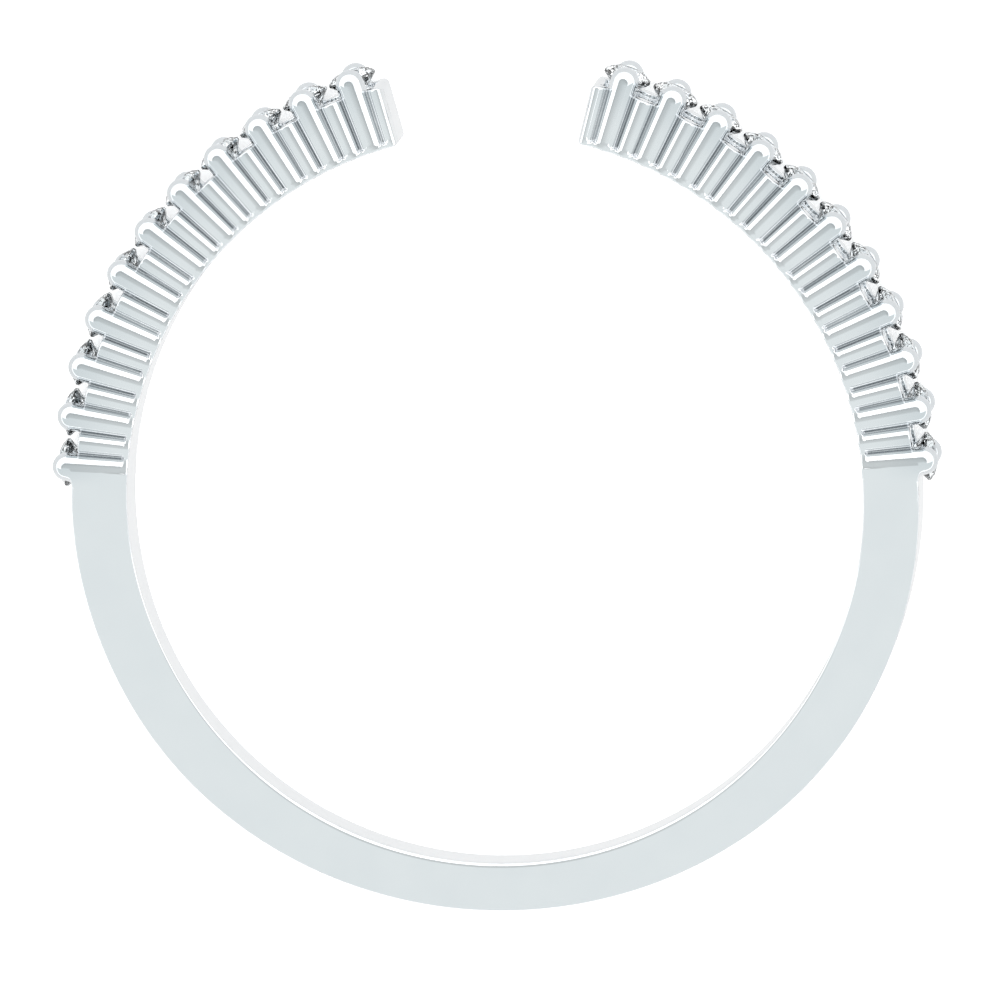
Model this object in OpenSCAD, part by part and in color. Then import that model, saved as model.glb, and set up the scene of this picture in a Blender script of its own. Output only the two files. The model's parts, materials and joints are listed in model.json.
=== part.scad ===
// Anniversary band for a finger, open at the top.
// The lower part is a plain hoop with flat sides, the shank. Above it two arms run up and stop short of
// each other. Each arm is a thin rail that carries a row of round stones: every stone stands between two
// tall, round-topped prongs, one in front and one behind, and shorter flat-topped posts stand between
// the pairs of prongs. A pair of posts joined by a wall closes the end of each arm.
// The band is one casting. Each stone is a solid of its own that hangs in its seat with a small gap.
//
// The ring lies on its side. The finger's axis is Z, the origin is in the middle of the finger hole,
// the gap between the arms is at +Y and the right arm is on +X. Angles are measured from +Y.

/* [Finger hole] */

// Radius of the finger hole
hole_r = 8.65; // [8.55:0.01:8.75]

/* [Row of stones] */

// Height of the row's centre above the centre of the finger hole
row_rise = 0.25; // [0.2:0.01:0.3]
// Angle from the top of the ring to the first stone
first_angle = 18.6; // [18.3:0.1:18.9]
// Angle from one stone to the next
pitch_angle = 6.8; // [6.78:0.01:6.85]
// Diameter of a stone
stone_d = 1.07; // [1:0.01:1.1]
// Distance from the row's centre to the widest line of a stone
girdle_r = 10.14; // [10.12:0.01:10.16]

/* [Prongs and posts] */

// Distance from the row's centre to the tip of a prong
prong_tip_r = 10.43; // [10.39:0.01:10.47]
// Radius of a prong
prong_r = 0.285; // [0.27:0.005:0.285]
// Distance of a prong's axis from the middle plane
prong_z = 0.785; // [0.775:0.005:0.795]
// Distance from the row's centre to the flat top of a post
post_top_r = 9.85; // [9.8:0.01:9.86]
// Radius of a post
post_r = 0.225; // [0.21:0.005:0.225]
// Distance of a post's axis from the middle plane
post_z = 0.83; // [0.82:0.005:0.84]

/* [Rail of the arms] */

// Distance by which an arm reaches past the axis of its last post
end_reach = 0.12; // [0.1:0.01:0.16]
// Width of the rail at the finger, along the finger's axis
rail_w = 1.9; // [1.86:0.01:1.94]
// Radius of the rounding along the rail's inner edges
rail_edge_r = 0.25; // [0.2:0.01:0.27]
// Height of the rail's full-width foot above the finger hole
foot_h = 0.3; // [0.3:0.01:0.32]
// Width of the web that stands on the foot between the two rows of columns
web_w = 1.3; // [1.26:0.01:1.34]
// Distance from the row's centre to the top of the web, which lies just below the stones
web_top_r = 9.62; // [9.58:0.01:9.63]

/* [Shank] */

// Thickness of the shank at the bottom of the ring
shank_bottom_t = 1.17; // [1.14:0.01:1.2]
// Thickness of the shank at its two shoulders
shank_side_t = 1.26; // [1.24:0.01:1.3]
// Radius of the shank's outline under the ring
shank_arc_r = 10.8; // [10.6:0.05:11]
// Width of the shank at the bottom of the ring, along the finger's axis
shank_bottom_w = 1.2; // [1.1:0.01:1.3]
// Width of the shank just below its two shoulders
shank_shoulder_w = 1.5; // [1.4:0.01:1.6]
// Width of the flare where the shank meets the last prongs
flare_w = 2; // [1.8:0.01:2.1]
// Length of the flare along the shank
flare_length = 0.35; // [0.25:0.01:0.5]
// Bevel along the shank's inner edges
shank_bevel = 0.1; // [0.06:0.01:0.14]

/* [Hidden] */

$fn = 96;

metal = [0.86, 0.88, 0.89];
clear_stone = [0.93, 0.96, 0.98, 0.6];

// Sides of the ring: the left one is the mirror image of the right one.
RIGHT = 0;
LEFT = 1;

stones_per_arm = 11;

// Angles of the column that closes the arm, and of the pair of prongs next to the shank.
end_angle = first_angle - pitch_angle / 2;
last_angle = first_angle + (stones_per_arm - 1) * pitch_angle;

// The shank starts and the rail ends inside the last pair of prongs, just past its axis, in degrees.
shank_angle = last_angle + 0.3;
rail_angle = last_angle + 0.9;

// Proportions of a round brilliant stone, as parts of its diameter.
table_part = 0.56;
crown_part = 0.15;
girdle_part = 0.03;
pavilion_part = 0.43;

// Gap between a stone and the metal of its seat.
seat_gap = 0.03;

// A column starts this far above the finger hole, inside the rail's foot.
column_foot_h = 0.2;

// How far the foot's upper side slopes outward, along the radius.
foot_slope = 0.2;

// Overlap between shapes that are joined, and overshoot of shapes that cut.
overlap = 0.02;
overshoot = 1;

ring_reach = prong_tip_r + overshoot;
shank_side_r = hole_r + shank_side_t;
shank_bottom_y = -(hole_r + shank_bottom_t);

// Distance from the row's centre, along the direction of an angle, to the circle of radius r
// about the centre of the finger hole.
function reach(angle, r) =
    let (rise = row_rise * cos(angle))
    sqrt(rise * rise + r * r - row_rise * row_rise) - rise;

// Point at a distance from the row's centre, in the direction of an angle.
function spot(angle, distance) =
    [distance * sin(angle), row_rise + distance * cos(angle)];

// Angle of a stone, counted from the gap.
function stone_angle(number) = first_angle + (number - 1) * pitch_angle;

// Puts its children on the line that runs out from the row's centre at an angle, at a height z,
// with their own Z along that line.
module outward(angle, z = 0) {
    translate([0, row_rise, z])
        rotate([0, 0, -angle])
            rotate([-90, 0, 0])
                children();
}

// Puts its children, built for the right arm, on one side of the ring.
module on_side(side) {
    if (side == LEFT)
        mirror([1, 0, 0])
            children();
    else
        children();
}

// Solid of revolution from the half of a flat outline that lies on +X.
module turned() {
    rotate_extrude()
        intersection() {
            children();
            translate([0, -ring_reach])
                square([ring_reach, 2 * ring_reach]);
        }
}

// Column with a round foot, between two distances from the row's centre, and its tip if it is round.
module column(from, to, r, round_tip) {
    straight_to = round_tip ? to - r : to;
    translate([0, 0, from + r])
        turned()
            union() {
                circle(r = r);
                translate([-r, 0])
                    square([2 * r, straight_to - from - r]);
                if (round_tip)
                    translate([0, straight_to - from - r])
                        circle(r = r);
            }
}

// Pair of prongs that holds one stone, notched where the stone's edge goes in.
module prong_pair(number) {
    angle = stone_angle(number);
    difference() {
        for (z = [-prong_z, prong_z])
            outward(angle, z)
                column(reach(angle, hole_r + column_foot_h), prong_tip_r, prong_r, round_tip = true);
        seat(number);
    }
}

// Pair of posts between two pairs of prongs.
module post_pair(angle) {
    for (z = [-post_z, post_z])
        outward(angle, z)
            column(reach(angle, hole_r + column_foot_h), post_top_r, post_r, round_tip = false);
}

// Flat region of one arm's rail, from the end of the arm to inside the last pair of prongs.
module arm_region() {
    polygon([
        [0, row_rise],
        spot(end_angle, 2 * ring_reach),
        spot((end_angle + rail_angle) / 2, 2 * ring_reach),
        spot(rail_angle, 2 * ring_reach)
    ]);
}

// Cross-section of the rail's foot, with rounded edges at the finger and sloping shoulders.
module foot_section() {
    half_w = rail_w / 2;
    straight = half_w - rail_edge_r;
    difference() {
        polygon([
            [hole_r, -half_w],
            [hole_r + foot_h, -half_w],
            [hole_r + foot_h + foot_slope, -web_w / 2],
            [hole_r + foot_h + foot_slope, web_w / 2],
            [hole_r + foot_h, half_w],
            [hole_r, half_w]
        ]);
        for (up = [-1, 1])
            difference() {
                translate([hole_r - overshoot, up > 0 ? straight : -half_w - overshoot])
                    square([overshoot + rail_edge_r, rail_edge_r + overshoot]);
                translate([hole_r + rail_edge_r, up * straight])
                    circle(r = rail_edge_r);
            }
    }
}

// Foot of one arm's rail, along the finger.
module foot() {
    intersection() {
        rotate_extrude()
            foot_section();
        linear_extrude(rail_w + overshoot, center = true)
            arm_region();
    }
}

// Web of one arm's rail, which stands on the foot under the stones.
module web() {
    linear_extrude(web_w, center = true)
        difference() {
            intersection() {
                translate([0, row_rise])
                    circle(r = web_top_r);
                arm_region();
            }
            circle(r = hole_r + foot_h);
        }
}

// Flat outline of the shank, which is a little thinner at the bottom than at the shoulders.
module shank_outline() {
    difference() {
        intersection() {
            circle(r = shank_side_r);
            translate([0, shank_bottom_y + shank_arc_r])
                circle(r = shank_arc_r);
            polygon([
                [0, row_rise],
                spot(shank_angle, 2 * ring_reach),
                [2 * ring_reach, -2 * ring_reach],
                [-2 * ring_reach, -2 * ring_reach],
                spot(-shank_angle, 2 * ring_reach)
            ]);
        }
        circle(r = hole_r);
    }
}

// Plain hoop below the arms. Its sides are flat, lean together toward the bottom of the ring, and flare
// out to the last prongs. The last stone of each arm dips into its end.
module shank() {
    shoulder_y = row_rise + shank_side_r * cos(last_angle) - prong_r;
    flare_y = shoulder_y - flare_length;
    lean = (shank_shoulder_w - shank_bottom_w) / 2 / (flare_y - shank_bottom_y);
    middle_half_w = shank_shoulder_w / 2 - lean * flare_y;
    low_y = shank_bottom_y - overshoot;
    side = [
        [low_y, middle_half_w + lean * low_y],
        [flare_y, shank_shoulder_w / 2],
        [shoulder_y, flare_w / 2],
        [shoulder_y + overshoot, flare_w / 2]
    ];
    other_side = [for (i = [len(side) - 1 : -1 : 0]) [side[i].x, -side[i].y]];
    difference() {
        intersection() {
            linear_extrude(flare_w + overshoot, center = true)
                shank_outline();
            rotate([90, 0, 90])
                linear_extrude(2 * ring_reach, center = true)
                    polygon(concat(side, other_side));
        }
        for (up = [0, 1])
            mirror([0, 0, up])
                translate([0, 0, middle_half_w])
                    rotate([atan(lean), 0, 0]) {
                        translate([0, 0, -shank_bevel - overlap])
                            cylinder(
                                h = shank_bevel + 2 * overlap,
                                r1 = hole_r - overlap,
                                r2 = hole_r + shank_bevel + overlap
                            );
                        cylinder(h = overshoot, r = hole_r + shank_bevel);
                    }
        for (side = [RIGHT, LEFT])
            on_side(side)
                seat(stones_per_arm);
    }
}

// Round stone, widest at the girdle, or the hollow that takes it when it is grown by a gap.
module stone_shape(gap = 0) {
    r = stone_d / 2 + gap;
    table_r = table_part * stone_d / 2 + gap;
    crown = crown_part * stone_d;
    girdle = girdle_part * stone_d / 2;
    pavilion = pavilion_part * stone_d + gap;
    rotate_extrude()
        polygon([
            [0, -girdle - pavilion],
            [r, -girdle],
            [r, girdle],
            [table_r, girdle + crown + gap],
            [0, girdle + crown + gap]
        ]);
}

// Puts a stone, or the hollow for it, in its place on one arm.
module placed_stone(number, gap = 0) {
    outward(stone_angle(number))
        translate([0, 0, girdle_r])
            stone_shape(gap);
}

// Hollow that takes one stone.
module seat(number) {
    placed_stone(number, seat_gap);
}

// One stone in its place.
module stone(side, number) {
    color(clear_stone)
        on_side(side)
            placed_stone(number);
}

// Rail of one arm: the foot along the finger and the web that stands on it.
module rail() {
    union() {
        foot();
        web();
    }
}

// Closed end of one arm: the first pair of posts and the wall that joins them, both cut off flat.
module closed_end() {
    wall_from = reach(end_angle, hole_r + column_foot_h) + post_r;
    intersection() {
        union() {
            outward(end_angle)
                translate([-post_r, -post_z, wall_from])
                    cube([post_r + end_reach, 2 * post_z, post_top_r - wall_from]);
            post_pair(end_angle);
        }
        outward(end_angle)
            translate([-end_reach, -rail_w, 0])
                cube([2 * overshoot, 2 * rail_w, ring_reach]);
    }
}

// All pairs of prongs of one arm.
module prongs() {
    union()
        for (number = [1 : stones_per_arm])
            prong_pair(number);
}

// The pairs of posts of one arm that stand between two pairs of prongs.
module posts() {
    union()
        for (number = [2 : stones_per_arm])
            post_pair(stone_angle(number) - pitch_angle / 2);
}

// One arm.
module arm() {
    union() {
        rail();
        closed_end();
        posts();
        prongs();
    }
}

// The whole casting: shank and both arms.
module band() {
    color(metal)
        union() {
            shank();
            on_side(RIGHT)
                arm();
            on_side(LEFT)
                arm();
        }
}

band();
stone(LEFT, 1);  // stone_left_01
stone(LEFT, 2);  // stone_left_02
stone(LEFT, 3);  // stone_left_03
stone(LEFT, 4);  // stone_left_04
stone(LEFT, 5);  // stone_left_05
stone(LEFT, 6);  // stone_left_06
stone(LEFT, 7);  // stone_left_07
stone(LEFT, 8);  // stone_left_08
stone(LEFT, 9);  // stone_left_09
stone(LEFT, 10);  // stone_left_10
stone(LEFT, 11);  // stone_left_11
stone(RIGHT, 1);  // stone_right_01
stone(RIGHT, 2);  // stone_right_02
stone(RIGHT, 3);  // stone_right_03
stone(RIGHT, 4);  // stone_right_04
stone(RIGHT, 5);  // stone_right_05
stone(RIGHT, 6);  // stone_right_06
stone(RIGHT, 7);  // stone_right_07
stone(RIGHT, 8);  // stone_right_08
stone(RIGHT, 9);  // stone_right_09
stone(RIGHT, 10);  // stone_right_10
stone(RIGHT, 11);  // stone_right_11
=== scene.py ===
"""Looks of an anniversary band that lies on its side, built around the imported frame.

The band is one casting: a plain shank and two arms whose prongs and posts hold a row of round stones. Its
surface is worked out from a distance function, so that the columns, the lip along the finger and the shank
flow into each other as they do on a cast and polished ring. Every stone is a round brilliant of its own.
Lengths are in millimetres until a mesh is made, and angles are in degrees from +Y, the gap's direction.
"""
import json
import logging
import math
from dataclasses import dataclass, field
from enum import Enum

import bpy
import numpy as np
from mathutils import Matrix, Vector

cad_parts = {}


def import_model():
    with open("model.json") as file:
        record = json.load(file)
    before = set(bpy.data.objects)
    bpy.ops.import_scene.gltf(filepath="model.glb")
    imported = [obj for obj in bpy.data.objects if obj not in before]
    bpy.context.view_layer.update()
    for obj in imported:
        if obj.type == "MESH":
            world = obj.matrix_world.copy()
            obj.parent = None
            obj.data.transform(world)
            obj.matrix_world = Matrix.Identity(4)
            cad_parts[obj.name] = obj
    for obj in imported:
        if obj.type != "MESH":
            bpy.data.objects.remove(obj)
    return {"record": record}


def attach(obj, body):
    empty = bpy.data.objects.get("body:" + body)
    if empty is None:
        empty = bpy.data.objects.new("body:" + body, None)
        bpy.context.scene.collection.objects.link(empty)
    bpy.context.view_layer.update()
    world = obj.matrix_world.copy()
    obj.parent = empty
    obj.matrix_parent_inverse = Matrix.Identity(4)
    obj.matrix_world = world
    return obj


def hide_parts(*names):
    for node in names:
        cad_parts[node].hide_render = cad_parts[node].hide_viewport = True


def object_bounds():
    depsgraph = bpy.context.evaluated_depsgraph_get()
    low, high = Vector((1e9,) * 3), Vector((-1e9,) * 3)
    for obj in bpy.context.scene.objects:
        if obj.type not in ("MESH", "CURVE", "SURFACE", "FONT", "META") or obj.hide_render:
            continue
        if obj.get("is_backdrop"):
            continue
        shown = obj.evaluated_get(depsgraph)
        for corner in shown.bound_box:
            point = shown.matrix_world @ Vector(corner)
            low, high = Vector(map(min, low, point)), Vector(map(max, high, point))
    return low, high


LOG = logging.getLogger("anniversary_band")
MM = 0.001
TINY = 1e-6
ROOT = "root"
QUARTER_TURN = 90.0
FULL_TURN = 360.0


class Side(Enum):
    """The two arms. The value is the sign of X."""

    LEFT = -1
    RIGHT = 1


class Slot(Enum):
    """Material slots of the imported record."""

    METAL = "white_gold"
    STONE = "clear_stone"


class Mark(Enum):
    """Vertex attributes that tell the metal's finish where on the band it is: the edge mark for duller, worn
    edges, and the groove and tip marks for painted shade.
    """

    # painted shade in grooves and between columns
    GROOVE_SHADE = "groove_shade"
    EDGE = "edge"
    # painted shade toward the tips of prongs and posts
    TIP = "tip"


def smooth_min(a: np.ndarray, b: np.ndarray, blend: float) -> np.ndarray:
    """Joins two distances with a fillet.

    Args:
        a: First distance.
        b: Second distance.
        blend: Size of the fillet, in millimetres.

    Returns:
        The distance to the joined shape.
    """
    share = np.clip(0.5 + 0.5 * (b - a) / blend, 0.0, 1.0)
    return b + (a - b) * share - blend * share * (1.0 - share)


def round_corner(a: np.ndarray, b: np.ndarray, radius: float | np.ndarray) -> np.ndarray:
    """Cuts one shape by another and rounds the edge where they cross.

    Args:
        a: First distance.
        b: Second distance.
        radius: Radius of the rounded edge, in millimetres.

    Returns:
        The distance to what both shapes share.
    """
    outer = np.hypot(np.maximum(a + radius, 0.0), np.maximum(b + radius, 0.0))
    return np.minimum(np.maximum(a, b) + radius, 0.0) + outer - radius


def ease(value: np.ndarray, start: float, end: float) -> np.ndarray:
    """Smooth step from 0 at start to 1 at end.

    Args:
        value: Where to take the step.
        start: Value at which the step begins.
        end: Value at which it is complete.

    Returns:
        Numbers from 0 to 1.
    """
    share = np.clip((value - start) / (end - start), 0.0, 1.0)
    return share * share * (3.0 - 2.0 * share)


def graded_axis(knots: tuple[float, ...], steps: tuple[float, ...]) -> np.ndarray:
    """Points along a line whose spacing changes from stretch to stretch.

    Args:
        knots: Ends of the stretches, in rising order.
        steps: Wanted spacing inside each stretch.

    Returns:
        The points, with each knot among them.
    """
    parts = [np.array(knots[:1])]
    for start, end, step in zip(knots, knots[1:], steps):
        count = max(1, round((end - start) / step))
        parts.append(np.linspace(start, end, count + 1)[1:])
    return np.concatenate(parts)


def surface_net(values: np.ndarray) -> tuple[np.ndarray, np.ndarray]:
    """Finds the surface where the values on a grid change sign.

    Args:
        values: Signed distances at the grid's points, negative inside.

    Returns:
        One vertex for each cell that the surface crosses, in grid steps, and the quads between them, which
        face outward.
    """
    inside = values < 0.0
    cells = tuple(size - 1 for size in values.shape)
    corners = list(np.ndindex(2, 2, 2))
    count = sum(
        inside[a:a + cells[0], b:b + cells[1], c:c + cells[2]].astype(np.int8) for a, b, c in corners
    )
    crossed = (count > 0) & (count < len(corners))
    number = np.full(cells, -1)
    number[crossed] = np.arange(np.count_nonzero(crossed))
    cell = np.stack(np.nonzero(crossed), axis=1)

    total = np.zeros(cell.shape)
    hits = np.zeros(len(cell))
    for axis in range(3):
        along = np.eye(3, dtype=int)[axis]
        for corner in corners:
            if corner[axis]:
                continue
            start = cell + corner
            first = values[tuple(start.T)]
            second = values[tuple((start + along).T)]
            found = (first < 0.0) != (second < 0.0)
            fraction = np.where(found, first / np.where(found, first - second, 1.0), 0.0)
            total += found[:, None] * (np.array(corner) + along * fraction[:, None])
            hits += found
    vertices = cell + total / hits[:, None]

    quads = []
    for axis in range(3):
        across, up = (axis + 1) % 3, (axis + 2) % 3
        window = [slice(1, -1)] * 3
        window[axis] = slice(None, -1)
        low = inside[tuple(window)]
        window[axis] = slice(1, None)
        high = inside[tuple(window)]
        place = np.stack(np.nonzero(low != high), axis=1)
        ring = []
        for step_across, step_up in ((0, 0), (1, 0), (1, 1), (0, 1)):
            near = place.copy()
            near[:, across] += step_across
            near[:, up] += step_up
            ring.append(number[tuple(near.T)])
        ring = np.stack(ring, axis=1)
        falling = ~low[tuple(place.T)]
        ring[falling] = ring[falling][:, ::-1]
        quads.append(ring)
    return vertices, np.concatenate(quads)


@dataclass(frozen=True)
class StoneCut:
    """Proportions of a round brilliant, as parts of its diameter."""

    diameter: float = 1.13
    table_part: float = 0.56
    crown_part: float = 0.14
    girdle_part: float = 0.06
    pavilion_part: float = 0.43
    star_part: float = 0.39
    lower_part: float = 0.12

    @property
    def radius(self) -> float:
        """Radius at the girdle."""
        return self.diameter / 2

    @property
    def table_r(self) -> float:
        """Distance from the axis to a corner of the table."""
        return self.table_part * self.radius

    @property
    def crown(self) -> float:
        """Height of the crown above the girdle."""
        return self.crown_part * self.diameter

    @property
    def half_girdle(self) -> float:
        """Half the height of the girdle."""
        return self.girdle_part * self.radius

    @property
    def pavilion(self) -> float:
        """Depth of the pavilion below the girdle."""
        return self.pavilion_part * self.diameter


@dataclass(frozen=True)
class RowLayout:
    """Where the stones, prongs and posts of an arm stand, about the row's own centre."""

    hole_r: float
    row_rise: float = 0.25
    first_angle: float = 18.6
    pitch_angle: float = 6.8
    stones_per_arm: int = 11
    girdle_r: float = 10.14
    cut: StoneCut = field(default_factory=StoneCut)

    @property
    def end_angle(self) -> float:
        """Angle of the post that closes an arm."""
        return self.first_angle - self.pitch_angle / 2

    @property
    def last_angle(self) -> float:
        """Angle of the pair of prongs next to the shank."""
        return self.stone_angle(self.stones_per_arm)

    def stone_angle(self, number: int) -> float:
        """Angle of a stone, counted from 1 at the gap."""
        return self.first_angle + (number - 1) * self.pitch_angle

    def reach(self, angle: np.ndarray, radius: float, centre_y: float = 0.0) -> np.ndarray:
        """Measures from the row's centre to a circle.

        Args:
            angle: Directions, in degrees.
            radius: Radius of the circle.
            centre_y: Height of the circle's centre above the finger hole's.

        Returns:
            The distance in each direction.
        """
        rise = self.row_rise - centre_y
        along = rise * np.cos(np.radians(angle))
        return np.sqrt(along * along + radius * radius - rise * rise) - along

    def spoke(self, points: np.ndarray, start: float, count: int) -> tuple[np.ndarray, np.ndarray]:
        """Measures points from the nearest of a row of spokes.

        Args:
            points: Polar coordinates: angle and distance from the row's centre, in rows.
            start: Angle of the first spoke.
            count: Number of spokes, one pitch apart.

        Returns:
            The distance across the nearest spoke and the distance along it.
        """
        angle, distance = points
        nearest = np.clip(np.round((angle - start) / self.pitch_angle), 0, count - 1)
        off = np.radians(angle - start - nearest * self.pitch_angle)
        return distance * np.sin(off), distance * np.cos(off)


@dataclass(frozen=True)
class MeshBuilder:
    """Makes a Blender object from arrays in millimetres."""

    name: str

    def build(self, vertices: np.ndarray, faces: list, smooth: bool) -> bpy.types.Object:
        """Builds the object and links it to the scene.

        Args:
            vertices: Positions, in millimetres.
            faces: Vertex numbers of each face.
            smooth: Whether the faces are shaded smooth.

        Returns:
            The new object, at the origin.
        """
        mesh = bpy.data.meshes.new(self.name)
        mesh.from_pydata((vertices * MM).tolist(), [], faces)
        mesh.polygons.foreach_set("use_smooth", [smooth] * len(mesh.polygons))
        mesh.update()
        made = bpy.data.objects.new(self.name, mesh)
        bpy.context.scene.collection.objects.link(made)
        return made


class NodeBoard:
    """Short ways to lay out a node tree.

    The mix node has several sockets named A, B and Result, so those that carry colours are found by number.
    """

    COLOUR_A = 6
    COLOUR_B = 7
    COLOUR_RESULT = 2

    def __init__(self, tree: bpy.types.NodeTree) -> None:
        """Starts on an empty tree."""
        self.tree = tree
        tree.nodes.clear()

    def add(self, kind: str, **values: object) -> bpy.types.Node:
        """Adds a node.

        Args:
            kind: Blender's name of the node type.
            values: Settings of the node, or values of its inputs by name with underscores for spaces.

        Returns:
            The new node.
        """
        node = self.tree.nodes.new(kind)
        for name, value in values.items():
            if hasattr(node, name):
                setattr(node, name, value)
            else:
                node.inputs[name.replace("_", " ")].default_value = value
        return node

    def link(self, source: bpy.types.NodeSocket, target: bpy.types.NodeSocket) -> None:
        """Joins an output to an input."""
        self.tree.links.new(source, target)

    def in_mm(self, stretch: tuple[float, float, float] = (1.0, 1.0, 1.0)) -> bpy.types.NodeSocket:
        """Object coordinates, with one unit to the millimetre.

        Args:
            stretch: Extra scale along each axis.

        Returns:
            The output that carries them.
        """
        place = self.add("ShaderNodeTexCoord")
        scaled = self.add("ShaderNodeMapping")
        scaled.inputs["Scale"].default_value = [part / MM for part in stretch]
        self.link(place.outputs["Object"], scaled.inputs["Vector"])
        return scaled.outputs["Vector"]

    def noise(self, vector: bpy.types.NodeSocket, scale: float, detail: float) -> bpy.types.NodeSocket:
        """Noise with a scale in features per millimetre.

        Args:
            vector: Coordinates in millimetres.
            scale: Features per millimetre.
            detail: Octaves.

        Returns:
            The output from 0 to 1.
        """
        made = self.add("ShaderNodeTexNoise", Scale=scale, Detail=detail)
        self.link(vector, made.inputs["Vector"])
        return made.outputs["Fac"]

    def spread(
        self, source: bpy.types.NodeSocket, span: tuple[float, float], result: tuple[float, float]
    ) -> bpy.types.NodeSocket:
        """Maps one range of numbers to another and clamps it.

        Args:
            source: Numbers to map.
            span: Range that is read.
            result: Range that is made.

        Returns:
            The mapped numbers.
        """
        made = self.add("ShaderNodeMapRange")
        for name, value in zip(("From Min", "From Max", "To Min", "To Max"), (*span, *result)):
            made.inputs[name].default_value = value
        self.link(source, made.inputs["Value"])
        return made.outputs["Result"]

    def mix_colour(
        self,
        share: bpy.types.NodeSocket,
        first: bpy.types.NodeSocket | tuple[float, float, float],
        second: bpy.types.NodeSocket | tuple[float, float, float],
    ) -> bpy.types.NodeSocket:
        """Mixes two colours, each of them an output or a plain colour.

        Args:
            share: How much of the second colour.
            first: Colour at 0.
            second: Colour at 1.

        Returns:
            The mixed colour.
        """
        made = self.add("ShaderNodeMix", data_type="RGBA")
        self.link(share, made.inputs["Factor"])
        for colour, number in ((first, self.COLOUR_A), (second, self.COLOUR_B)):
            if isinstance(colour, tuple):
                made.inputs[number].default_value = (*colour, 1.0)
            else:
                self.link(colour, made.inputs[number])
        return made.outputs[self.COLOUR_RESULT]

    def multiply(self, first: bpy.types.NodeSocket, second: bpy.types.NodeSocket) -> bpy.types.NodeSocket:
        """Multiplies two numbers."""
        made = self.add("ShaderNodeMath", operation="MULTIPLY")
        self.link(first, made.inputs[0])
        self.link(second, made.inputs[1])
        return made.outputs["Value"]

    def bump(self, height: bpy.types.NodeSocket, depth_mm: float, strength: float) -> bpy.types.NodeSocket:
        """Bumps a surface.

        Args:
            height: Height from 0 to 1.
            depth_mm: Height of 1, in millimetres.
            strength: Strength of the bump.

        Returns:
            The bumped normal.
        """
        made = self.add("ShaderNodeBump", Strength=strength, Distance=depth_mm * MM)
        self.link(height, made.inputs["Height"])
        return made.outputs["Normal"]


@dataclass(frozen=True)
class PolishedWhiteMetal:
    """White gold with a bright polish.

    It has a faint cloudiness and hair scratches, and its edges are duller. Shade is painted into its colour:
    grooves are darker, and the prongs and posts take a slightly darker painted shade toward their tips.
    """

    name: str = "polished_white_metal"
    bright: tuple[float, float, float] = (0.895, 0.905, 0.915)
    cloudy: tuple[float, float, float] = (0.875, 0.888, 0.9)
    # painted shade: colour of grooves and of the gaps between columns, where shade falls
    groove_shade: tuple[float, float, float] = (0.6, 0.62, 0.64)
    # painted shade: darker tone that prongs and posts take toward their tips
    tip: tuple[float, float, float] = (0.75, 0.78, 0.8)
    roughness: tuple[float, float] = (0.05, 0.1)
    worn_roughness: float = 0.16
    worn_share: float = 0.5
    cloud_scale: float = 0.9
    cloud_span: tuple[float, float] = (0.35, 0.65)
    groove_shade_span: tuple[float, float] = (0.6, 1.0)
    edge_span: tuple[float, float] = (0.4, 1.0)
    grain_scale: float = 14.0
    grain_span: tuple[float, float] = (0.3, 0.7)
    scratch_scale: float = 6.0
    scratch_stretch: tuple[float, float, float] = (1.0, 9.0, 3.0)
    scratch_depth: float = 0.0006
    ripple_depth: float = 0.002
    bump_strength: float = 0.6

    def make(self) -> bpy.types.Material:
        """Builds the material.

        Returns:
            The material, which reads the marks that the band's mesh carries.
        """
        material = bpy.data.materials.new(self.name)
        material.use_nodes = True
        board = NodeBoard(material.node_tree)
        place = board.in_mm()
        clouds = board.noise(place, self.cloud_scale, detail=3.0)
        grain = board.noise(place, self.grain_scale, detail=2.0)
        scratches = board.noise(board.in_mm(self.scratch_stretch), self.scratch_scale, detail=4.0)
        groove_shade = board.add("ShaderNodeAttribute", attribute_name=Mark.GROOVE_SHADE.value)
        edge = board.add("ShaderNodeAttribute", attribute_name=Mark.EDGE.value)
        tip = board.add("ShaderNodeAttribute", attribute_name=Mark.TIP.value)

        tint = board.mix_colour(board.spread(clouds, self.cloud_span, (0.0, 1.0)), self.bright, self.cloudy)
        # painted shade: the groove mark darkens the colour in grooves and between columns
        groove_shade_share = board.spread(groove_shade.outputs["Fac"], self.groove_shade_span, (0.0, 1.0))
        # painted shade: prongs and posts darken toward their tips
        tip_shaded = board.mix_colour(tip.outputs["Fac"], tint, self.tip)
        colour = board.mix_colour(groove_shade_share, tip_shaded, self.groove_shade)
        dull = board.spread(grain, self.grain_span, self.roughness)
        worn = board.add("ShaderNodeMix", data_type="FLOAT")
        wear = board.spread(edge.outputs["Fac"], self.edge_span, (0.0, self.worn_share))
        board.link(wear, worn.inputs["Factor"])
        board.link(dull, worn.inputs["A"])
        worn.inputs["B"].default_value = self.worn_roughness

        relief = board.add("ShaderNodeMath", operation="MULTIPLY_ADD")
        board.link(scratches, relief.inputs[0])
        relief.inputs[1].default_value = self.scratch_depth / self.ripple_depth
        board.link(clouds, relief.inputs[2])

        shader = board.add("ShaderNodeBsdfPrincipled", Metallic=1.0)
        board.link(colour, shader.inputs["Base Color"])
        board.link(worn.outputs["Result"], shader.inputs["Roughness"])
        bumped = board.bump(relief.outputs[0], self.ripple_depth, self.bump_strength)
        board.link(bumped, shader.inputs["Normal"])
        output = board.add("ShaderNodeOutputMaterial")
        board.link(shader.outputs["BSDF"], output.inputs["Surface"])
        return material


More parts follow.
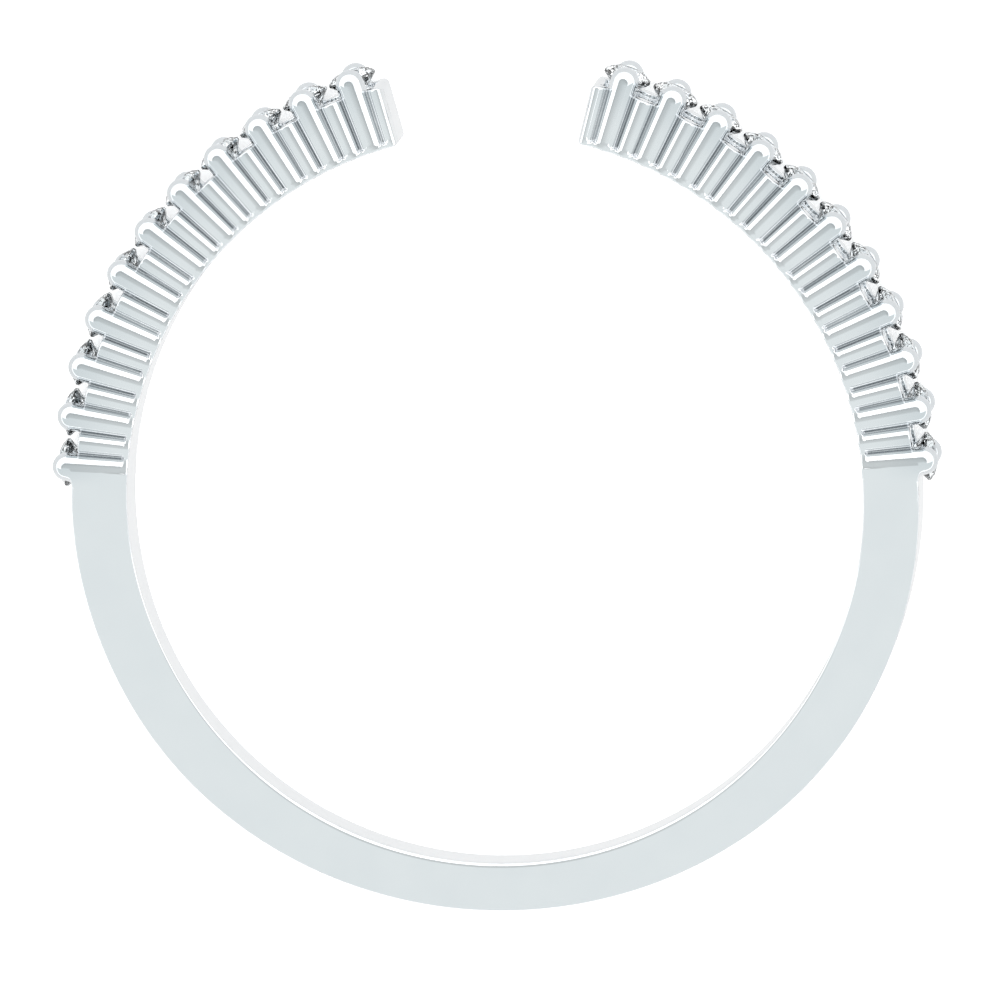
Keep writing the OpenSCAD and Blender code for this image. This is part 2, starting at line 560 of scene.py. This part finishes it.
@dataclass(frozen=True)
class ClearStone:
    """A clear, strongly refracting stone with a faint cool tint and polishing haze."""

    name: str = "clear_stone"
    clear: tuple[float, float, float] = (1.0, 1.0, 1.0)
    tinted: tuple[float, float, float] = (0.9, 0.95, 0.98)
    ior: float = 2.05
    roughness: tuple[float, float] = (0.0, 0.03)
    veil_scale: float = 2.5
    veil_span: tuple[float, float] = (0.3, 0.7)
    haze_scale: float = 12.0
    haze_span: tuple[float, float] = (0.35, 0.75)
    haze_depth: float = 0.0005
    bump_strength: float = 0.3

    def make(self) -> bpy.types.Material:
        """Builds the material.

        Returns:
            The material.
        """
        material = bpy.data.materials.new(self.name)
        material.use_nodes = True
        board = NodeBoard(material.node_tree)
        place = board.in_mm()
        veil = board.noise(place, self.veil_scale, detail=2.0)
        haze = board.noise(place, self.haze_scale, detail=3.0)
        colour = board.mix_colour(board.spread(veil, self.veil_span, (0.0, 1.0)), self.clear, self.tinted)
        shader = board.add("ShaderNodeBsdfPrincipled", IOR=self.ior, Transmission_Weight=1.0)
        board.link(colour, shader.inputs["Base Color"])
        board.link(board.spread(haze, self.haze_span, self.roughness), shader.inputs["Roughness"])
        board.link(board.bump(haze, self.haze_depth, self.bump_strength), shader.inputs["Normal"])
        output = board.add("ShaderNodeOutputMaterial")
        board.link(shader.outputs["BSDF"], output.inputs["Surface"])
        return material


@dataclass(frozen=True)
class PaleFloor:
    """Matt white paper with a barely visible tooth, which may be lit from below."""

    name: str = "pale_floor"
    brightness: float = 0.93
    tooth: float = 0.98
    tooth_scale: float = 3.0
    roughness: float = 0.9
    glow: float = 0.0

    def make(self) -> bpy.types.Material:
        """Builds the material.

        Returns:
            The material.
        """
        material = bpy.data.materials.new(self.name)
        material.use_nodes = True
        board = NodeBoard(material.node_tree)
        grain = board.noise(board.in_mm(), self.tooth_scale, detail=3.0)
        light = (self.brightness, self.brightness, self.brightness)
        shaded = tuple(self.tooth * part for part in light)
        shader = board.add(
            "ShaderNodeBsdfPrincipled", Roughness=self.roughness, Emission_Strength=self.glow
        )
        board.link(board.mix_colour(grain, light, shaded), shader.inputs["Base Color"])
        output = board.add("ShaderNodeOutputMaterial")
        board.link(shader.outputs["BSDF"], output.inputs["Surface"])
        return material


@dataclass
class Casting:
    """The band: shank, the two rails, and the prongs and posts that stand on them.

    Names that end in _r are radii, in _z distances from the middle plane, in _t thicknesses, in _h heights
    above the finger hole and in _turn angles. Those that begin with grid_ lay out the grid on which the
    surface is found: its knots are the ends of its stretches, and its steps the spacing inside each.
    """

    row: RowLayout
    name: str = "band_casting"
    finish: PolishedWhiteMetal = field(default_factory=PolishedWhiteMetal)

    prong_tip_r: float = 10.43
    prong_r: float = 0.335
    prong_z: float = 0.735
    post_top_r: float = 9.85
    post_r: float = 0.25
    post_z: float = 0.8
    post_edge_r: float = 0.05
    groove_fillet: float = 0.06
    end_reach: float = 0.12
    end_edge_r: float = 0.15

    column_foot_r: float = 0.05
    lip_h: float = 0.12
    lip_z: float = 0.98
    lip_edge_r: float = 0.08
    lip_fillet: float = 0.06
    web_z: float = 0.775
    web_top_r: float = 9.74
    seat_gap: float = 0.02
    rail_end_turn: float = 1.6

    shank_side_t: float = 1.31
    shank_bottom_t: float = 1.17
    shank_arc_r: float = 10.8
    outline_blend: float = 0.3
    shank_bottom_z: float = 0.6
    shank_shoulder_z: float = 0.75
    widest_share: float = 1.2
    flare_z: float = 0.98
    flare_angle: float = 30.0
    shank_inner_r: tuple[float, float] = (0.05, 0.14)
    inner_r_turn: tuple[float, float] = (115.0, 165.0)
    shank_outer_r: float = 0.035
    shank_start_turn: float = 0.9
    shoulder_fillet: float = 0.18

    grid_margin: float = 0.07
    grid_arm_h: float = 1.955
    grid_side_z: float = 1.0675
    grid_turn_knots: tuple[float, float, float] = (90.2, 94.2, 179.1)
    grid_turn_steps: tuple[float, float, float] = (0.35, 0.7, 1.8)
    grid_h_knots: tuple[float, float, float] = (0.35, 1.05, 2.03)
    grid_h_steps: tuple[float, float, float] = (0.05, 0.15, 0.051)
    grid_z_knots: tuple[float, float, float] = (0.07, 0.55, 1.135)
    grid_z_steps: tuple[float, float] = (0.12, 0.045)
    grid_past_end: float = 1.3
    grid_shank_turn: tuple[float, float] = (1.2, 6.5)
    projection_rounds: int = 4
    projection_limit: float = 0.03
    gentlest_slope: float = 0.5
    mark_depth: float = 0.1
    # painted shade toward the tips starts this far above the finger hole and ends this far past the last
    # prongs
    tip_shade_start_h: float = 0.2
    tip_shade_end_turn: float = 3.0

    def __post_init__(self) -> None:
        """Works out the angles and lines that several shapes share."""
        self.tip_centre_r = self.prong_tip_r - self.prong_r
        self.prong_slope = math.asin(self.prong_r / self.tip_centre_r)
        self.post_slope = math.asin(self.post_r / self.post_top_r)
        self.shank_bottom_y = -(self.row.hole_r + self.shank_bottom_t)
        self.shank_arc_y = self.shank_bottom_y + self.shank_arc_r
        self.shank_start = self.row.last_angle + self.shank_start_turn
        self.rail_end = self.row.last_angle + self.rail_end_turn

    def column(self, across: np.ndarray, along: np.ndarray, z: np.ndarray, slope: float) -> np.ndarray:
        """Distance to a column that widens outward as its spoke's distance grows."""
        return np.hypot(across, z) * math.cos(slope) - along * math.sin(slope)

    def prongs(self, polar: np.ndarray, z: np.ndarray) -> np.ndarray:
        """Measures to the nearest prong, whose tip is round.

        Args:
            polar: Angle and distance from the row's centre.
            z: Distance from the middle plane.

        Returns:
            Signed distances.
        """
        across, along = self.row.spoke(polar, self.row.first_angle, self.row.stones_per_arm)
        side = self.column(across, along, z - self.prong_z, self.prong_slope)
        tip = np.sqrt(across**2 + (z - self.prong_z)**2 + (along - self.tip_centre_r)**2) - self.prong_r
        return np.where(along < self.tip_centre_r, side, tip)

    def posts(self, polar: np.ndarray, z: np.ndarray) -> np.ndarray:
        """Measures to the nearest post, whose top is flat.

        Args:
            polar: Angle and distance from the row's centre.
            z: Distance from the middle plane.

        Returns:
            Signed distances.
        """
        across, along = self.row.spoke(polar, self.row.end_angle, self.row.stones_per_arm)
        side = self.column(across, along, z - self.post_z, self.post_slope)
        return round_corner(side, along - self.post_top_r, self.post_edge_r)

    def seats(self, polar: np.ndarray, z: np.ndarray) -> np.ndarray:
        """Measures to the nearest stone, grown by the gap of its seat.

        Args:
            polar: Angle and distance from the row's centre.
            z: Distance from the middle plane.

        Returns:
            Signed distances.
        """
        cut = self.row.cut
        across, along = self.row.spoke(polar, self.row.first_angle, self.row.stones_per_arm)
        out = np.hypot(across, z)
        up = along - self.row.girdle_r
        below = (out / cut.radius - (up + cut.half_girdle) / cut.pavilion - 1.0)
        below /= math.hypot(1.0 / cut.radius, 1.0 / cut.pavilion)
        lean = cut.radius - cut.table_r
        above = (out - cut.radius) * cut.crown + (up - cut.half_girdle) * lean
        above /= math.hypot(cut.crown, lean)
        top = up - cut.half_girdle - cut.crown
        return np.maximum.reduce([below, above, out - cut.radius, top]) - self.seat_gap

    def arms(self, polar: np.ndarray, radius: np.ndarray, z: np.ndarray) -> np.ndarray:
        """Measures to the two arms.

        Args:
            polar: Angle and distance from the row's centre.
            radius: Distance from the centre of the finger hole.
            z: Distance from the middle plane.

        Returns:
            Signed distances.
        """
        angle, distance = polar
        above_hole = radius - self.row.hole_r
        lip = np.maximum(round_corner(-above_hole, z - self.lip_z, self.lip_edge_r), above_hole - self.lip_h)
        web = np.maximum(z - self.web_z, distance - self.web_top_r)
        web = np.maximum(web, -above_hole)
        columns = smooth_min(self.prongs(polar, z), self.posts(polar, z), self.groove_fillet)
        columns = round_corner(columns, -above_hole, self.column_foot_r)
        past_end = distance * np.sin(np.radians(angle - self.row.end_angle))
        wall = np.maximum(z - self.post_z, distance - self.post_top_r)
        wall = np.maximum(np.maximum(wall, past_end - self.end_reach), -above_hole)
        arm = smooth_min(smooth_min(lip, web, self.groove_fillet), columns, self.lip_fillet)
        arm = np.minimum(arm, wall)
        arm = round_corner(arm, -past_end - self.end_reach, self.end_edge_r)
        turn = np.clip(angle - self.rail_end, -QUARTER_TURN, QUARTER_TURN)
        before_shank = distance * np.sin(np.radians(turn))
        rail_only = np.maximum(arm, before_shank)
        last = round_corner(self.prongs(polar, z), -above_hole, self.column_foot_r)
        return np.minimum(rail_only, last)

    def shank_side_z(self, y: np.ndarray, angle: np.ndarray) -> np.ndarray:
        """Half the width of the shank, which flares toward the last prongs.

        Args:
            y: Height above the centre of the finger hole.
            angle: Angle about the row's centre.

        Returns:
            Distances from the middle plane to the flat side.
        """
        share = np.clip((y - self.shank_bottom_y) / -self.shank_bottom_y, 0.0, self.widest_share)
        plain = self.shank_bottom_z + share * (self.shank_shoulder_z - self.shank_bottom_z)
        flare = 1.0 - ease(angle, self.row.last_angle, self.row.last_angle + self.flare_angle)
        return plain + flare * (self.flare_z - self.shank_shoulder_z)

    def shank(self, angle: np.ndarray, distance: np.ndarray, points: np.ndarray) -> np.ndarray:
        """Measures to the plain hoop below the arms.

        Args:
            angle: Angle about the row's centre.
            distance: Distance from the row's centre.
            points: Positions, with X and Z taken without their signs.

        Returns:
            Signed distances.
        """
        x, y, z = points.T
        radius = np.hypot(x, y)
        arc = np.hypot(x, y - self.shank_arc_y) - self.shank_arc_r
        outer = -smooth_min(-(radius - self.row.hole_r - self.shank_side_t), -arc, self.outline_blend)
        side = z - self.shank_side_z(y, angle)
        at_sides, at_bottom = self.shank_inner_r
        inner_r = at_sides + (at_bottom - at_sides) * ease(angle, *self.inner_r_turn)
        body = round_corner(self.row.hole_r - radius, side, inner_r)
        body = round_corner(body, outer, self.shank_outer_r)
        turn = np.clip(self.shank_start - angle, -QUARTER_TURN, QUARTER_TURN)
        return np.maximum(body, distance * np.sin(np.radians(turn)))

    def distance(self, points: np.ndarray) -> np.ndarray:
        """Measures to the band's surface.

        Args:
            points: Positions, one to a row.

        Returns:
            Signed distances, negative inside the metal.
        """
        folded = np.abs(points)
        folded[:, 1] = points[:, 1]
        x, y, z = folded.T
        rise = y - self.row.row_rise
        polar = np.stack([np.degrees(np.arctan2(x, rise)), np.hypot(x, rise)])
        arm = self.arms(polar, np.hypot(x, y), z)
        shank = self.shank(polar[0], polar[1], folded)
        metal = smooth_min(arm, shank, self.shoulder_fillet)
        metal = np.maximum(metal, self.row.hole_r - np.hypot(x, y))
        return np.maximum(metal, -self.seats(polar, z))

    def slope(self, points: np.ndarray, step: float = 0.004) -> np.ndarray:
        """Direction and steepness in which the distance grows.

        Args:
            points: Positions, one to a row.
            step: Length of the difference that is taken.

        Returns:
            The gradient at each point.
        """
        moves = step * np.eye(3)
        parts = [self.distance(points + move) - self.distance(points - move) for move in moves]
        return np.stack(parts, axis=1) / (2 * step)

    def grid_axes(self) -> tuple[np.ndarray, np.ndarray, np.ndarray]:
        """Angles, heights above the finger hole and distances from the middle plane of the grid."""
        arm_end = self.row.end_angle - self.grid_past_end
        half_turn = graded_axis((arm_end, *self.grid_turn_knots), self.grid_turn_steps)
        turn = np.concatenate([half_turn, FULL_TURN - half_turn[::-1]])
        height = graded_axis((-self.grid_margin, *self.grid_h_knots), self.grid_h_steps)
        half_width = graded_axis(self.grid_z_knots, self.grid_z_steps)
        return turn, height, np.concatenate([-half_width[::-1], half_width])

    def place(self, turn: np.ndarray, height: np.ndarray, width: np.ndarray) -> np.ndarray:
        """Puts grid coordinates in space, so that its lines follow the ring's flat sides and its outline.

        Args:
            turn: Angles about the row's centre.
            height: Heights above the finger hole, as at the arms.
            width: Distances from the middle plane, as at the arms.

        Returns:
            Positions, one to a row.
        """
        folded = np.minimum(turn, FULL_TURN - turn)
        inner = self.row.reach(folded, self.row.hole_r)
        side = self.row.reach(folded, self.row.hole_r + self.shank_side_t)
        outline = np.minimum(side, self.row.reach(folded, self.shank_arc_r, self.shank_arc_y))
        start, end = self.grid_shank_turn
        on_shank = ease(folded, self.row.last_angle + start, self.row.last_angle + end)
        outer = (1.0 - on_shank) * self.prong_tip_r + on_shank * outline
        distance = inner + height / self.grid_arm_h * (outer - inner)
        x = distance * np.sin(np.radians(turn))
        y = self.row.row_rise + distance * np.cos(np.radians(turn))
        squeeze = 1.0 + on_shank * (self.shank_side_z(y, folded) / self.grid_side_z - 1.0)
        return np.stack([x, y, width * squeeze], axis=1)

    def surface(self) -> tuple[np.ndarray, np.ndarray]:
        """Nets the band's surface and pulls the net's vertices onto it.

        Returns:
            Vertices in millimetres, and quads.
        """
        axes = self.grid_axes()
        grid = np.meshgrid(*axes, indexing="ij")
        values = self.distance(self.place(*[part.ravel() for part in grid]))
        net, quads = surface_net(values.reshape(grid[0].shape))
        spots = [np.interp(net[:, i], np.arange(len(axis)), axis) for i, axis in enumerate(axes)]
        points = self.place(*spots)
        start = points.copy()
        for _ in range(self.projection_rounds):
            slope = self.slope(points)
            steep = np.maximum((slope**2).sum(axis=1), self.gentlest_slope**2)
            points = points - slope * (self.distance(points) / steep)[:, None]
            points = start + np.clip(points - start, -self.projection_limit, self.projection_limit)
        return points, quads

    def tip_shade_share(self, points: np.ndarray) -> np.ndarray:
        """Share of the painted shade that darkens prongs and posts toward their tips.

        Args:
            points: Positions, one to a row.

        Returns:
            Numbers from 0 at the finger hole and on the shank to 1 at a tip.
        """
        x, y = points[:, 0], points[:, 1] - self.row.row_rise
        last = self.row.last_angle
        on_arm = 1.0 - ease(np.degrees(np.arctan2(np.abs(x), y)), last, last + self.tip_shade_end_turn)
        return on_arm * ease(np.hypot(x, y), self.row.hole_r + self.tip_shade_start_h, self.prong_tip_r)

    def build(self) -> bpy.types.Object:
        """Builds the casting's mesh with smooth normals and the marks for its finish and its painted shade.

        Returns:
            The object.
        """
        points, quads = self.surface()
        made = MeshBuilder(self.name).build(points, quads.tolist(), smooth=True)
        slope = self.slope(points)
        normals = slope / np.maximum(np.linalg.norm(slope, axis=1), TINY)[:, None]
        made.data.normals_split_custom_set_from_vertices(normals.tolist())
        # the groove mark tells how hidden a point is from outside and is used as painted shade in grooves;
        # the edge mark tells how near an edge it is and is used for wear
        outside = self.distance(points + self.mark_depth * normals) / self.mark_depth
        inside = -self.distance(points - self.mark_depth * normals) / self.mark_depth
        # the tip mark carries the painted shade toward the tips of prongs and posts
        marks = {Mark.GROOVE_SHADE: 1.0 - outside, Mark.EDGE: 1.0 - inside, Mark.TIP: self.tip_shade_share(points)}
        for mark, value in marks.items():
            layer = made.data.attributes.new(mark.value, "FLOAT", "POINT")
            layer.data.foreach_set("value", np.clip(value, 0.0, 1.0).astype(np.float32))
        return made

    def dress(self, made: bpy.types.Object) -> None:
        """Gives the casting its finish and its place in the frame."""
        made.data.materials.append(self.finish.make())
        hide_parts("band")
        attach(made, ROOT)


@dataclass
class RoundBrilliant:
    """One stone of the row, cut with a table, a crown, a girdle and a pavilion."""

    row: RowLayout
    side: Side
    number: int
    mains: int = 8
    halves: int = 16
    seed_step: int = 100

    @property
    def node(self) -> str:
        """Name of the CAD node that the stone stands for."""
        return f"stone_{self.side.name.lower()}_{self.number:02d}"

    def ring_of(self, count: int, radius: float, height: float, turn: float = 0.0) -> np.ndarray:
        """Points evenly round the stone's axis.

        Args:
            count: Number of points.
            radius: Distance from the axis.
            height: Height above the girdle.
            turn: Angle of the first point, in steps between points.

        Returns:
            The points, one to a row.
        """
        angle = 2 * np.pi * (np.arange(count) + turn) / count
        return np.stack([radius * np.cos(angle), radius * np.sin(angle), np.full(count, height)], axis=1)

    def facets(self) -> tuple[np.ndarray, list[list[int]]]:
        """Cuts the stone about its own axis.

        Returns:
            Vertices in millimetres and the facets' vertex numbers, seen from outside.
        """
        cut = self.row.cut
        half_step = math.cos(math.pi / self.mains)
        star_r = (cut.table_part + cut.star_part * (1.0 - cut.table_part)) * cut.radius / half_step
        fall = cut.crown / (cut.radius - cut.table_r)
        star_h = cut.half_girdle + (cut.radius - star_r * half_step) * fall
        lower_r = cut.lower_part * cut.radius / half_step
        lower_h = -cut.half_girdle - (1.0 - cut.lower_part) * cut.pavilion
        rings = [
            self.ring_of(self.mains, cut.table_r, cut.half_girdle + cut.crown),
            self.ring_of(self.mains, star_r, star_h, 0.5),
            self.ring_of(self.halves, cut.radius, cut.half_girdle),
            self.ring_of(self.halves, cut.radius, -cut.half_girdle),
            self.ring_of(self.mains, lower_r, lower_h, 0.5),
            np.array([[0.0, 0.0, -cut.half_girdle - cut.pavilion]]),
        ]
        vertices = np.concatenate(rings)
        table, star, upper, under, lower, culet = np.cumsum([0] + [len(ring) for ring in rings[:-1]]).tolist()
        faces = [list(range(self.mains))]
        for i in range(self.mains):
            after, before = (i + 1) % self.mains, (i - 1) % self.mains
            main, half, end = 2 * i, 2 * i + 1, (2 * i + 2) % self.halves
            faces.append([table + i, star + i, table + after])
            faces.append([table + i, star + before, upper + main, star + i])
            faces.append([star + i, upper + main, upper + half])
            faces.append([star + i, upper + half, upper + end])
            faces.append([culet, lower + i, under + main, lower + before])
            faces.append([lower + i, under + half, under + main])
            faces.append([lower + i, under + end, under + half])
        for i in range(self.halves):
            after = (i + 1) % self.halves
            faces.append([upper + i, under + i, under + after, upper + after])
        return vertices, faces

    def build(self) -> bpy.types.Object:
        """Builds the stone in its seat, turned by a chance angle as a setter leaves it.

        Returns:
            The object.
        """
        vertices, faces = self.facets()
        chance = np.random.default_rng(self.seed_step * self.number + self.side.value + 1)
        turn = Matrix.Rotation(chance.uniform(0.0, 2 * math.pi), 3, "Z")
        angle = math.radians(self.row.stone_angle(self.number)) * self.side.value
        out = Vector((math.sin(angle), math.cos(angle), 0.0))
        across = Vector((0.0, 0.0, 1.0)).cross(out)
        pose = Matrix((across, Vector((0.0, 0.0, 1.0)), out)).transposed()
        if pose.determinant() < 0:
            pose = Matrix((-across, Vector((0.0, 0.0, 1.0)), out)).transposed()
        centre = Vector((0.0, self.row.row_rise, 0.0)) + out * self.row.girdle_r
        placed = vertices @ np.array(pose @ turn).T + np.array(centre)
        name = f"brilliant_{self.side.name.lower()}_{self.number:02d}"
        return MeshBuilder(name).build(placed, faces, smooth=False)

    def dress(self, made: bpy.types.Object, finish: bpy.types.Material) -> None:
        """Gives the stone its finish and its place in the frame."""
        made.data.materials.append(finish)
        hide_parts(self.node)
        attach(made, ROOT)


@dataclass(frozen=True)
class PhotoCamera:
    """Camera almost straight above the ring, far away."""

    tilt_x: float = 5.0
    tilt_y: float = 8.0
    roll: float = -1.1
    distance: float = 380.0
    pixels_per_mm: float = 42.6
    image_px: float = 990.0
    centre_px: tuple[float, float] = (497.8, 494.9)
    sensor: float = 36.0
    clip_m: tuple[float, float] = (0.01, 5.0)

    def build(self) -> bpy.types.Object:
        """Makes the camera and gives it to the scene.

        Returns:
            The camera's object.
        """
        lean_x, lean_y = math.tan(math.radians(self.tilt_x)), math.tan(math.radians(self.tilt_y))
        back = Vector((lean_x, lean_y, 1.0)).normalized()
        right = Vector((0.0, 1.0, 0.0)).cross(back).normalized()
        right = Matrix.Rotation(math.radians(self.roll), 3, back) @ right
        pose = Matrix((right, back.cross(right), back)).transposed().to_4x4()
        pose.translation = back * self.distance * MM
        data = bpy.data.cameras.new("photo_camera")
        data.sensor_width = self.sensor
        data.lens = self.sensor * self.distance * self.pixels_per_mm / self.image_px
        middle = self.image_px / 2
        data.shift_x = (middle - self.centre_px[0]) / self.image_px
        data.shift_y = (self.centre_px[1] - middle) / self.image_px
        data.clip_start, data.clip_end = self.clip_m
        made = bpy.data.objects.new("photo_camera", data)
        made.matrix_world = pose
        bpy.context.scene.collection.objects.link(made)
        bpy.context.scene.camera = made
        return made


@dataclass
class SoftStudio:
    """White paper floor inside a bright tent, with a greyer card overhead that the polished faces mirror.

    Seen from the ring the card is a wide sheet toward -Y that ends in a round arch toward +Y. Past the arch
    the metal mirrors the white tent. The paper that the metal mirrors is a greyer copy of the floor that only
    reflections see, so shade is painted into the floor's reflections. Shares of the arch's radius are named
    _part.
    """

    floor_half: float = 600.0
    tent_strength: float = 1.5
    tent_colour: tuple[float, float, float, float] = (0.985, 0.995, 1.0, 1.0)
    # brightness of the greyer floor copy that only reflections see: painted shade
    shaded_mirror_floor: float = 0.56
    card_height: float = 75.0
    card_reach: float = 400.0
    arch_centre: tuple[float, float] = (-15.0, -10.0)
    arch_r: float = 60.0
    arch_points: int = 49
    arch_fade_end: float = -5.0
    sheet_end: float = -22.0
    card_light: float = 0.87
    card_dark: float = 0.67
    card_fade: tuple[float, float] = (-14.0, 4.0)
    rim_glow: float = 0.55
    rim_part: tuple[float, float] = (0.45, 0.9)
    rim_line: float = 0.62
    line_part: tuple[float, float] = (0.9, 0.98)
    card_colour: tuple[float, float, float, float] = (0.935, 0.992, 1.0, 1.0)
    floor: PaleFloor = field(default_factory=lambda: PaleFloor(glow=0.3))

    def sheet(self, name: str, outline: np.ndarray, z: float) -> bpy.types.Object:
        """Makes a flat sheet that isn't part of the ring.

        Args:
            name: Name of the object.
            outline: Corners in millimetres, counter-clockwise from above.
            z: Its height.

        Returns:
            The object.
        """
        corners = np.column_stack([outline, np.full(len(outline), z)])
        made = MeshBuilder(name).build(corners, [list(range(len(corners)))], smooth=False)
        made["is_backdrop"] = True
        return made

    def card_outline(self) -> np.ndarray:
        """Corners of the card: a wide sheet with an arch on its +Y side."""
        centre = np.array(self.arch_centre)
        start = math.asin((self.sheet_end - centre[1]) / self.arch_r)
        angle = np.linspace(start, math.pi - start, self.arch_points)
        arch = centre + self.arch_r * np.stack([np.cos(angle), np.sin(angle)], axis=1)
        far, edge = self.card_reach, self.sheet_end
        return np.concatenate([[[-far, -far], [far, -far], [far, edge]], arch, [[-far, edge]]])

    def card_material(self) -> bpy.types.Material:
        """Glow of the card: brighter toward the bottom of the ring, with a dark line along the arch."""
        material = bpy.data.materials.new("card_glow")
        material.use_nodes = True
        board = NodeBoard(material.node_tree)
        place = board.in_mm()
        split = board.add("ShaderNodeSeparateXYZ")
        board.link(place, split.inputs["Vector"])
        level = board.spread(split.outputs["Y"], self.card_fade, (self.card_light, self.card_dark))
        away = board.add("ShaderNodeVectorMath", operation="DISTANCE")
        board.link(place, away.inputs[0])
        away.inputs[1].default_value = (*self.arch_centre, self.card_height)
        rim_span = tuple(part * self.arch_r for part in self.rim_part)
        line_span = tuple(part * self.arch_r for part in self.line_part)
        rim = board.spread(away.outputs["Value"], rim_span, (1.0, self.rim_glow / self.card_dark))
        line = board.spread(away.outputs["Value"], line_span, (1.0, self.rim_line))
        both = board.multiply(rim, line)
        on_arch = board.spread(split.outputs["Y"], (self.sheet_end, self.arch_fade_end), (0.0, 1.0))
        shade = board.add("ShaderNodeMix", data_type="FLOAT")
        board.link(on_arch, shade.inputs["Factor"])
        shade.inputs["A"].default_value = 1.0
        board.link(both, shade.inputs["B"])
        glow = board.add("ShaderNodeEmission", Color=self.card_colour)
        board.link(board.multiply(level, shade.outputs["Result"]), glow.inputs["Strength"])
        output = board.add("ShaderNodeOutputMaterial")
        board.link(glow.outputs["Emission"], output.inputs["Surface"])
        return material

    def build(self, floor_z: float) -> None:
        """Builds floor, tent and card.

        Args:
            floor_z: Height of the floor, in millimetres.
        """
        half = self.floor_half
        square = np.array([[-half, -half], [half, -half], [half, half], [-half, half]])
        ground = self.sheet("floor", square, floor_z)
        ground.data.materials.append(self.floor.make())
        ground.visible_glossy = False
        # painted shade: a greyer copy of the floor that only the metal's reflections see
        mirrored = self.sheet("shaded_mirror_floor", square, floor_z)
        mirrored.data.materials.append(PaleFloor("shaded_mirror_floor", self.shaded_mirror_floor).make())
        mirrored.visible_camera = False
        mirrored.visible_diffuse = False
        mirrored.visible_transmission = False
        mirrored.visible_shadow = False
        card = self.sheet("overhead_card", self.card_outline(), self.card_height)
        card.data.materials.append(self.card_material())
        card.visible_camera = False
        card.visible_shadow = False
        card.visible_diffuse = False
        world = bpy.data.worlds.new("tent")
        world.use_nodes = True
        board = NodeBoard(world.node_tree)
        light = board.add("ShaderNodeBackground", Color=self.tent_colour, Strength=self.tent_strength)
        output = board.add("ShaderNodeOutputWorld")
        board.link(light.outputs["Background"], output.inputs["Surface"])
        bpy.context.scene.world = world
        bpy.context.scene.view_settings.view_transform = "Standard"


def report(made: bpy.types.Object) -> None:
    """Logs the size of a finished piece."""
    triangles = sum(len(face.vertices) - 2 for face in made.data.polygons)
    size = " x ".join(f"{side / MM:.2f}" for side in made.dimensions)
    LOG.info("%s: %d triangles, %s mm", made.name, triangles, size)


def main() -> None:
    """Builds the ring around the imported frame, then the studio."""
    logging.basicConfig(level=logging.INFO, format="%(name)s: %(message)s")
    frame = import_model()
    cad_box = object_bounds()
    hole_r = frame["record"]["mounts"][0]["dims"]["r_mm"]
    row = RowLayout(hole_r=hole_r)

    casting = Casting(row)
    band = casting.build()
    casting.dress(band)
    report(band)

    stone_finish = ClearStone().make()
    for side in Side:
        for number in range(1, row.stones_per_arm + 1):
            stone = RoundBrilliant(row, side, number)
            made = stone.build()
            stone.dress(made, stone_finish)
            report(made)

    SoftStudio().build(floor_z=cad_box[0].z / MM)
    PhotoCamera().build()
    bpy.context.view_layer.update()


if __name__ == "__main__":
    main()
